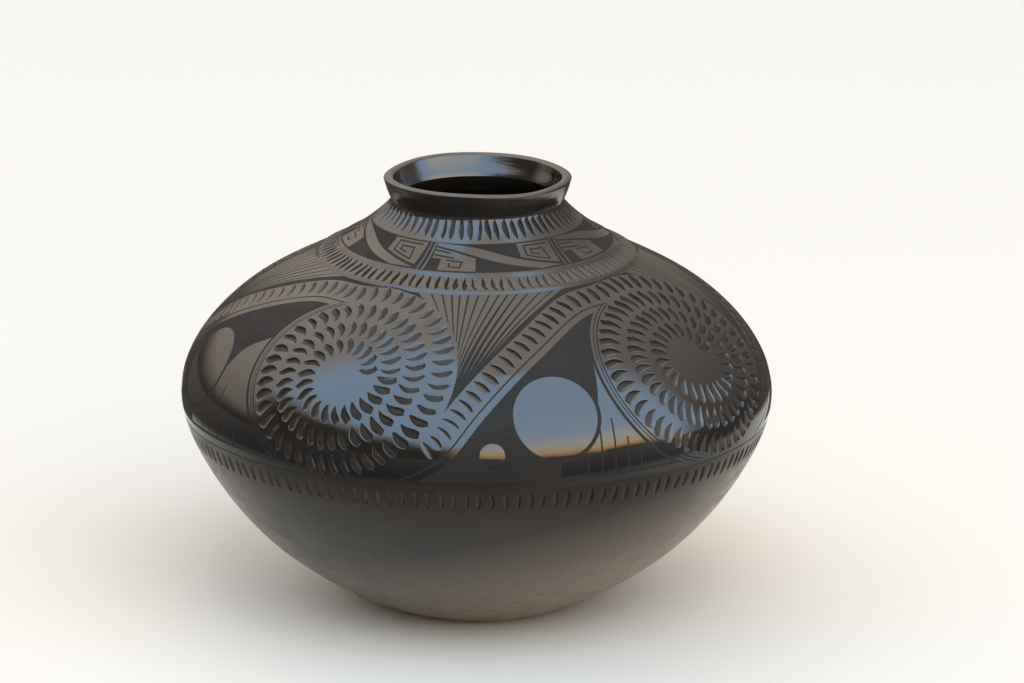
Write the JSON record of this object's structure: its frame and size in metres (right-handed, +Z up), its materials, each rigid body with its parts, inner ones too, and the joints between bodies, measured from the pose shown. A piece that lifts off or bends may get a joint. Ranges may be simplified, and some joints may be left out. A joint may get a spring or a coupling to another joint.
{
  "type": "pottery olla",
  "caption": "Wide round coil-built water jar with a small flat foot and a short flared neck, burnished dark clay with gouged bands.",
  "frame": {"origin": "middle of the flat foot, on the surface the pot stands on", "axes": "+Z up along the pot's axis; -Y faces the viewer of the picture"},
  "size_m": [0.3, 0.3, 0.2228],
  "materials": {
    "bowl_clay": "burnished black clay, satin, with faint polishing streaks",
    "belly_clay": "burnished black clay with matte painted grounds and gouged notches",
    "shoulder_clay": "burnished black clay with matte painted grounds and gouged notches",
    "neck_clay": "burnished black clay with a band of gouges",
    "lip_clay": "brightly burnished black-brown clay"
  },
  "bodies": {
    "root": {"base_bowl": "bowl_clay", "belly_coil": "belly_clay", "shoulder_coil": "shoulder_clay", "neck_coil": "neck_clay", "lip_coil": "lip_clay"}
  },
  "joints": []
}
